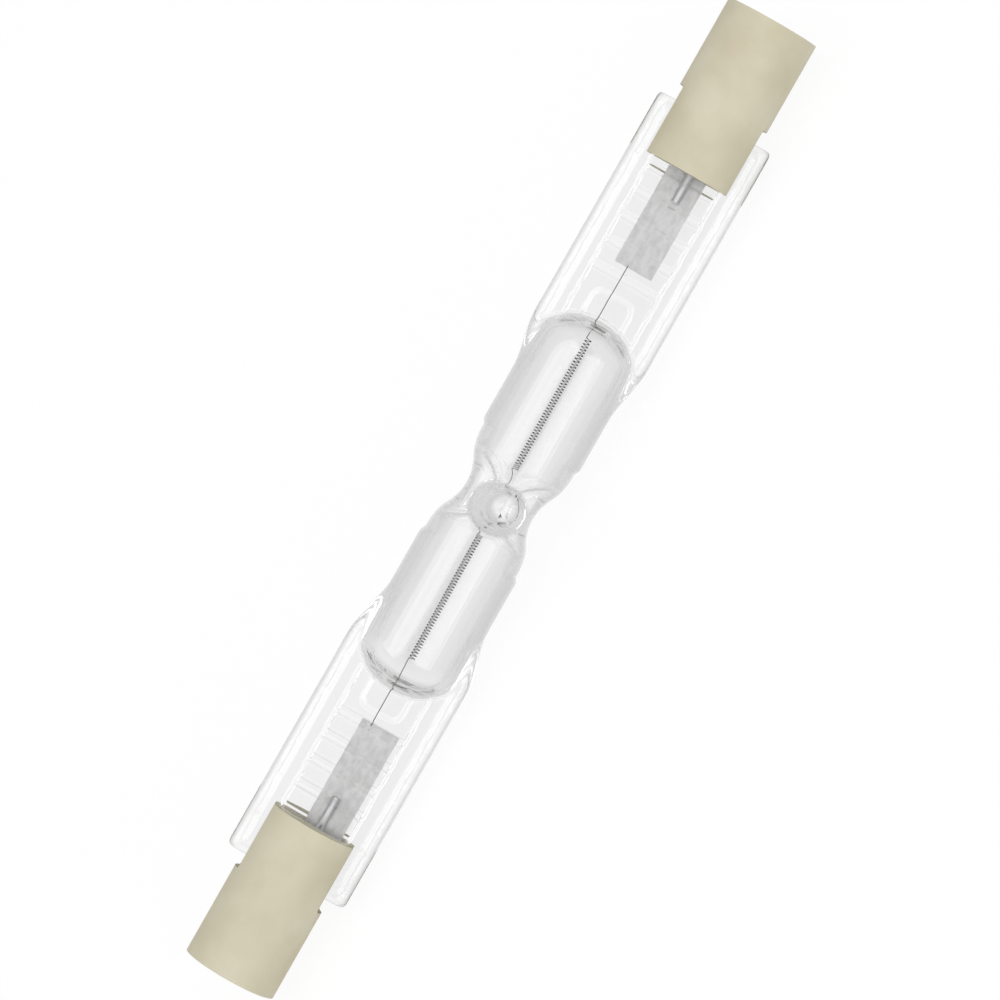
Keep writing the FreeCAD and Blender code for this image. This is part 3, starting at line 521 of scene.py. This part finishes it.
def glass_hollow():
    """Rings of the gas space."""
    stations = both_ways(hollow_stations)
    away = np.abs(stations)
    tight = 1 - ramp(away, *PASSAGE_FLAT_SPAN)
    centres = np.where(stations > 0, SHOULDER_CENTRE[1], SHOULDER_CENTRE[-1])
    closing = ramp(away, centres + DOME_FLAT_START, centres + CAVITY_RADIUS)
    reach = BORE_FLAT - (BORE_FLAT - PASSAGE_FLAT) * tight
    reach -= (BORE_FLAT - DOME_END_FLAT) * closing
    return surface_grid(inside, stations, reach, *HOLLOW_RAYS)


def glass_envelope(skin_look, bore_look):
    """Quartz envelope with soft pressed forms: an outer skin and the gas space in it."""
    skin = glass_skin()
    hollow = glass_hollow()
    skin_points = skin.shape[0] * skin.shape[1]
    points = np.concatenate([skin.reshape(-1, 3), hollow.reshape(-1, 3)])
    faces = grid_faces(skin, 0)
    # The faces of the hollow look into the gas
    faces += [tuple(reversed(face)) for face in grid_faces(hollow, skin_points)]
    piece = mesh_piece("glass", points, faces, "quartz_envelope",
                       [skin_look, bore_look])
    for polygon in piece.data.polygons:
        polygon.material_index = int(polygon.vertices[0] >= skin_points)


def mesh_piece(name, points, faces, node, looks):
    """Piece in the lamp's own frame, rolled to lie as the CAD node does."""
    cosine, sine = math.cos(ROLL), math.sin(ROLL)
    turned = np.stack([points[:, 0], points[:, 1] * cosine - points[:, 2] * sine,
                       points[:, 1] * sine + points[:, 2] * cosine], axis=1) * MM
    mesh = bpy.data.meshes.new(name)
    mesh.from_pydata(turned.tolist(), [], faces)
    mesh.validate()
    for polygon in mesh.polygons:
        polygon.use_smooth = True
    piece = bpy.data.objects.new(name, mesh)
    bpy.context.scene.collection.objects.link(piece)
    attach(piece, "root")
    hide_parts(node)
    for look in looks:
        mesh.materials.append(look)
    return piece


def wire_sides(path, outward, radius, sides):
    """Points of a round wire along a path, one ring of points for each path point."""
    run = np.gradient(path, axis=0)
    run /= np.linalg.norm(run, axis=1, keepdims=True)
    outward = outward - run * np.sum(outward * run, axis=1, keepdims=True)
    outward /= np.linalg.norm(outward, axis=1, keepdims=True)
    across = np.cross(run, outward)
    rings = []
    for turn in np.arange(sides) * 2 * math.pi / sides:
        rings.append(path + radius * (math.cos(turn) * outward + math.sin(turn) * across))
    return np.stack(rings, axis=1)


def tube_faces(count, sides, offset):
    """Quads along a wire and a cap at each of its ends."""
    faces = []
    for row in range(count - 1):
        low = offset + row * sides
        for side in range(sides):
            after = (side + 1) % sides
            faces.append((low + side, low + after, low + sides + after, low + sides + side))
    faces.append(tuple(offset + side for side in reversed(range(sides))))
    last = offset + (count - 1) * sides
    faces.append(tuple(last + side for side in range(sides)))
    return faces


def coiled_coil(start, end):
    """Path of the fine primary winding, itself wound about the line from start to end.

    With it goes the direction in which each of its points stands off the coil's wire.
    """
    length = np.linalg.norm(end - start)
    around = 2 * math.pi * round(length / COIL_PITCH)
    run = math.hypot(around * COIL_RADIUS, length)
    primary_turns = round(run / PRIMARY_PITCH)
    share = np.linspace(0, 1, primary_turns * PRIMARY_POINTS + 1)[:, None]
    axis = (end - start) / length
    side = np.array([0.0, 1.0, 0.0]) - axis * axis[1]
    side /= np.linalg.norm(side)
    rise = np.cross(side, axis) * np.sign(axis[0])
    angle = share * around
    out = np.cos(angle) * side + np.sin(angle) * rise
    tangent = around * COIL_RADIUS * (np.cos(angle) * rise - np.sin(angle) * side)
    tangent = tangent + axis * length
    tangent /= np.linalg.norm(tangent, axis=1, keepdims=True)
    middle = start + (end - start) * share + COIL_RADIUS * out
    small = share * primary_turns * 2 * math.pi
    outward = np.cos(small) * out + np.sin(small) * np.cross(tangent, out)
    return middle + PRIMARY_RADIUS * outward, outward


def kinked(points):
    """Path through a few points, rounded where the wire was bent by hand."""
    points = np.array(points, dtype=float)
    share = np.linspace(0, len(points) - 1, LEG_POINTS)
    path = np.stack([np.interp(share, np.arange(len(points)), points[:, axis])
                     for axis in range(3)], axis=1)
    for _ in range(BEND_PASSES):
        path[1:-1] = (path[:-2] + 2 * path[1:-1] + path[2:]) / 4
    return path


def filament(look):
    """Tungsten wire with true coiled coils, thin legs and the link through the waist."""
    coils = np.array([RIGHT_COIL, LEFT_COIL])
    wires = [(*coiled_coil(start, end), PRIMARY_WIRE, PRIMARY_SIDES) for start, end in coils]
    # A plain wire meets a coil at the side of its first or last turn
    (right_outer, right_inner), (left_outer, left_inner) = coils + (0.0, COIL_RADIUS, 0.0)
    for bends in ((*RIGHT_LEG, right_outer),
                  (right_inner, *LINK, left_inner),
                  (left_outer, *LEFT_LEG)):
        path = kinked(bends)
        wires.append((path, np.tile(LEG_UP, (len(path), 1)), LEG_WIRE, LEG_SIDES))
    points, faces, offset = [], [], 0
    for path, outward, radius, sides in wires:
        points.append(wire_sides(path, outward, radius, sides).reshape(-1, 3))
        faces += tube_faces(len(path), sides, offset)
        offset += len(path) * sides
    mesh_piece("coiled_filament", np.concatenate(points), faces, "filament",
               [look])


def make_camera():
    """Camera that looks square on the flat of the pinches, as in the photo."""
    normal = Vector((0, -math.sin(ROLL), math.cos(ROLL)))
    along = Vector((1, 0, 0))
    back = (normal * math.cos(CAMERA_LEAN) + along * math.sin(CAMERA_LEAN)).normalized()
    lamp_up = (along - back * along.dot(back)).normalized()
    lamp_right = lamp_up.cross(back)
    up = lamp_up * math.cos(PICTURE_TURN) - lamp_right * math.sin(PICTURE_TURN)
    right = lamp_up * math.sin(PICTURE_TURN) + lamp_right * math.cos(PICTURE_TURN)
    data = bpy.data.cameras.new("camera")
    data.sensor_width = SENSOR_WIDTH
    data.lens = PIXELS_PER_MM * CAMERA_DISTANCE * SENSOR_WIDTH / PICTURE_WIDTH
    data.clip_start = CLIP_START
    data.clip_end = CLIP_END
    camera = bpy.data.objects.new("camera", data)
    turn = Matrix((right, up, back)).transposed().to_4x4()
    camera.matrix_world = Matrix.Translation(back * CAMERA_DISTANCE * MM) @ turn
    bpy.context.scene.collection.objects.link(camera)
    bpy.context.scene.camera = camera
    return back, lamp_right


def add(tree, kind, **values):
    """New shader node, with values for its sockets or its settings."""
    node = tree.nodes.new(f"ShaderNode{kind}")
    for key, value in values.items():
        if key in node.inputs:
            node.inputs[key].default_value = value
        else:
            setattr(node, key, value)
    return node


def calculate(tree, operation, *terms):
    """Result of a Math node on sockets and plain numbers."""
    node = add(tree, "Math", operation=operation)
    for term, socket in zip(terms, node.inputs):
        if isinstance(term, (int, float)):
            socket.default_value = term
        else:
            tree.links.new(term, socket)
    return node.outputs[0]


def colour_ramp(tree, source, stops):
    """Colour ramp on a socket, from pairs of a place and a colour."""
    node = add(tree, "ValToRGB")
    elements = node.color_ramp.elements
    while len(elements) < len(stops):
        elements.new(0.5)
    for element, (place, colour) in zip(elements, stops):
        element.position = place
        element.color = (*colour, 1)
    tree.links.new(source, node.inputs["Fac"])
    return node.outputs["Color"]


def object_noise(tree, scale, detail, stretch):
    """Noise laid out in the object's own metres, with a stretch along each axis."""
    place = add(tree, "TexCoord")
    mapping = add(tree, "Mapping", Scale=stretch)
    noise = add(tree, "TexNoise", Scale=scale, Detail=detail)
    tree.links.new(place.outputs["Object"], mapping.inputs["Vector"])
    tree.links.new(mapping.outputs["Vector"], noise.inputs["Vector"])
    return noise.outputs["Fac"]


def relief(tree, surface, noise, height):
    """Relief of a height in millimetres on a surface node, from a noise."""
    bump = add(tree, "Bump", Strength=1.0, Distance=height * MM)
    tree.links.new(noise, bump.inputs["Height"])
    tree.links.new(bump.outputs["Normal"], surface.inputs["Normal"])


def seen_directly(tree):
    """Socket that is 1 for a ray from the camera, a mirror or glass, and 0 for others."""
    path = add(tree, "LightPath")
    seen = calculate(tree, "MAXIMUM", path.outputs["Is Camera Ray"],
                     path.outputs["Is Glossy Ray"])
    return calculate(tree, "MAXIMUM", seen, path.outputs["Is Transmission Ray"])


def new_material(name):
    """Empty node material, its node tree and the input for its surface."""
    material = bpy.data.materials.new(name)
    material.use_nodes = True
    tree = material.node_tree
    tree.nodes.clear()
    output = add(tree, "OutputMaterial")
    return material, tree, output.inputs["Surface"]


def painted_edge_shade(tree, shade_greys, pinch_shade_greys):
    """Painted shade on the glass, greyer from square on to edge on, with its own tones for
    the pinches.
    """
    facing = add(tree, "LayerWeight", Blend=0.5)
    grey = add(tree, "MixRGB")
    for tones, socket in ((shade_greys, "Color1"), (pinch_shade_greys, "Color2")):
        stops = [(place, (level, level, level)) for place, level in tones]
        tree.links.new(colour_ramp(tree, facing.outputs["Facing"], stops),
                       grey.inputs[socket])

    # The pinches have their own painted shade, mostly lighter than on the tube between them
    place = add(tree, "TexCoord")
    parts = add(tree, "SeparateXYZ")
    pinched = add(tree, "MapRange")
    pinched.inputs["From Min"].default_value = PINCH_LOOK_START * MM
    pinched.inputs["From Max"].default_value = PINCH_LOOK_END * MM
    tree.links.new(place.outputs["Object"], parts.inputs[0])
    tree.links.new(calculate(tree, "ABSOLUTE", parts.outputs["X"]), pinched.inputs["Value"])
    tree.links.new(pinched.outputs["Result"], grey.inputs["Fac"])
    return grey.outputs["Color"]


def quartz(name, shade_greys, pinch_shade_greys):
    """Clear quartz glass, faintly uneven, greyed by painted shade from square on to edge on,
    and with a painted white glow deep in a light path.
    """
    material, tree, surface = new_material(name)
    glass = add(tree, "BsdfPrincipled", Roughness=0.0, IOR=QUARTZ_IOR)
    glass.inputs["Transmission Weight"].default_value = 1.0
    glass.inputs["Emission Color"].default_value = WHITE

    # Painted light: at one step deep in a light path the glass glows white and lets nothing
    # further through, standing in for the white room all round
    depth = add(tree, "LightPath").outputs["Ray Depth"]
    deep = calculate(tree, "GREATER_THAN", depth, DEEP_PATH - HALF_STEP)
    painted_glow_step = calculate(tree, "COMPARE", depth, DEEP_PATH, HALF_STEP)
    tree.links.new(calculate(tree, "MULTIPLY", painted_glow_step, PAINTED_GLOW_LEVEL),
                   glass.inputs["Emission Strength"])
    tint = add(tree, "MixRGB", Color2=BLACK)
    tree.links.new(deep, tint.inputs["Fac"])
    tree.links.new(painted_edge_shade(tree, shade_greys, pinch_shade_greys), tint.inputs["Color1"])
    tree.links.new(tint.outputs["Color"], glass.inputs["Base Color"])

    waves = object_noise(tree, GLASS_WAVE_SCALE, GLASS_WAVE_DETAIL, GLASS_WAVE_STRETCH)
    relief(tree, glass, waves, GLASS_WAVE)
    tree.links.new(glass.outputs["BSDF"], surface)
    return material


def grained(name, dark, light, patch, grain, height, roughness, metallic=0.0,
            stretch=UNSTRETCHED):
    """Solid look: soft patches of two tones, and fine grain in relief."""
    material, tree, surface = new_material(name)
    solid = add(tree, "BsdfPrincipled", Roughness=roughness, Metallic=metallic)
    patches = object_noise(tree, patch, PATCH_DETAIL, stretch)
    tones = colour_ramp(tree, patches, [(DARK_UP_TO, dark), (LIGHT_FROM, light)])
    tree.links.new(tones, solid.inputs["Base Color"])
    relief(tree, solid, object_noise(tree, grain, GRAIN_DETAIL, stretch), height)
    tree.links.new(solid.outputs["BSDF"], surface)
    return material


def tungsten():
    """Dark drawn wire."""
    return grained("tungsten_look", dark=(0.03, 0.03, 0.033), light=(0.08, 0.08, 0.085),
                   patch=2500, grain=20000, height=0.001, roughness=0.45, metallic=1.0)


def molybdenum_foil():
    """Rolled foil with a soft, cloudy shine."""
    return grained("foil_look", dark=(0.6, 0.6, 0.6), light=(0.74, 0.74, 0.74),
                   patch=2400, grain=6000, height=0.006, roughness=0.5, metallic=0.6,
                   stretch=(0.6, 1, 1))


def lead_wire():
    """Bright wire with fine drawing marks along it."""
    return grained("lead_look", dark=(0.4, 0.4, 0.41), light=(0.5, 0.5, 0.5),
                   patch=1500, grain=12000, height=0.002, roughness=0.3, metallic=1.0,
                   stretch=(0.05, 1, 1))


def steatite():
    """Matt cream ceramic."""
    return grained("steatite_look", dark=(0.6, 0.55, 0.4), light=(0.66, 0.62, 0.475),
                   patch=260, grain=9000, height=0.012, roughness=0.75)


def contact_metal():
    """Plated metal, worn a little dull."""
    return grained("contact_look", dark=(0.5, 0.49, 0.46), light=(0.6, 0.59, 0.56),
                   patch=1200, grain=9000, height=0.003, roughness=0.35, metallic=1.0)


def cement():
    """Rough pale cement."""
    return grained("cement_look", dark=(0.58, 0.56, 0.5), light=(0.7, 0.68, 0.62),
                   patch=1500, grain=6000, height=0.03, roughness=0.9)


def dress_nodes(looks):
    """Give each CAD node the look that is listed under the start of its name."""
    for name, node in frame["nodes"].items():
        look = next(look for start, look in looks.items() if name.startswith(start))
        for slot in node.material_slots:
            slot.material = look


def floor():
    """White floor that keeps a soft shadow, at the height the lamp rests on."""
    bpy.ops.mesh.primitive_plane_add(size=FLOOR_SIZE, location=(0, 0, FLOOR_HEIGHT * MM))
    plane = bpy.context.object
    plane.name = "floor"
    material, tree, surface = new_material("floor_look")
    diffuse = add(tree, "BsdfDiffuse", Color=FLOOR_GREY)
    white = add(tree, "Emission", Color=WHITE, Strength=FLOOR_WHITE)
    mix = add(tree, "MixShader")
    share = calculate(tree, "MULTIPLY", seen_directly(tree), FLOOR_WHITE_SHARE)
    tree.links.new(share, mix.inputs["Fac"])
    tree.links.new(diffuse.outputs[0], mix.inputs[1])
    tree.links.new(white.outputs[0], mix.inputs[2])
    tree.links.new(mix.outputs[0], surface)
    plane.data.materials.append(material)


def world():
    """Soft grey room light. The camera, glass and metal see the room as white."""
    background = bpy.data.worlds.new("room")
    background.use_nodes = True
    tree = background.node_tree
    tree.nodes.clear()
    output = add(tree, "OutputWorld")
    room = add(tree, "Background", Color=ROOM_GREY)
    white = add(tree, "Background", Color=WHITE)
    mix = add(tree, "MixShader")
    tree.links.new(seen_directly(tree), mix.inputs["Fac"])
    tree.links.new(room.outputs[0], mix.inputs[1])
    tree.links.new(white.outputs[0], mix.inputs[2])
    tree.links.new(mix.outputs[0], output.inputs["Surface"])
    bpy.context.scene.world = background


def soft_boxes(view_back, view_right):
    """Large area light on each side of the camera, both turned to the lamp."""
    for name, side in (("soft_box_left", -1), ("soft_box_right", 1)):
        toward = view_back * math.cos(BOX_ANGLE) + view_right * (side * math.sin(BOX_ANGLE))
        data = bpy.data.lights.new(name, "AREA")
        data.shape = "RECTANGLE"
        data.size = BOX_WIDTH
        data.size_y = BOX_HEIGHT
        data.energy = BOX_POWER
        light = bpy.data.objects.new(name, data)
        light.location = toward.normalized() * BOX_DISTANCE
        light.rotation_mode = "QUATERNION"
        light.rotation_quaternion = toward.to_track_quat("Z", "Y")
        bpy.context.scene.collection.objects.link(light)


quartz_look = quartz("quartz_look", SKIN_SHADE_GREYS, PINCH_SHADE_GREYS)
bore_look = quartz("bore_look", BORE_SHADE_GREYS, BORE_SHADE_GREYS)
tungsten_look = tungsten()
dress_nodes({
    "quartz_envelope": quartz_look,
    "filament": tungsten_look,
    "foil": molybdenum_foil(),
    "outer_lead": lead_wire(),
    "ceramic_cap": steatite(),
    "contact": contact_metal(),
    "cement": cement(),
})
glass_envelope(quartz_look, bore_look)
filament(tungsten_look)
floor()
world()
soft_boxes(*make_camera())
bpy.context.scene.view_settings.view_transform = "Standard"
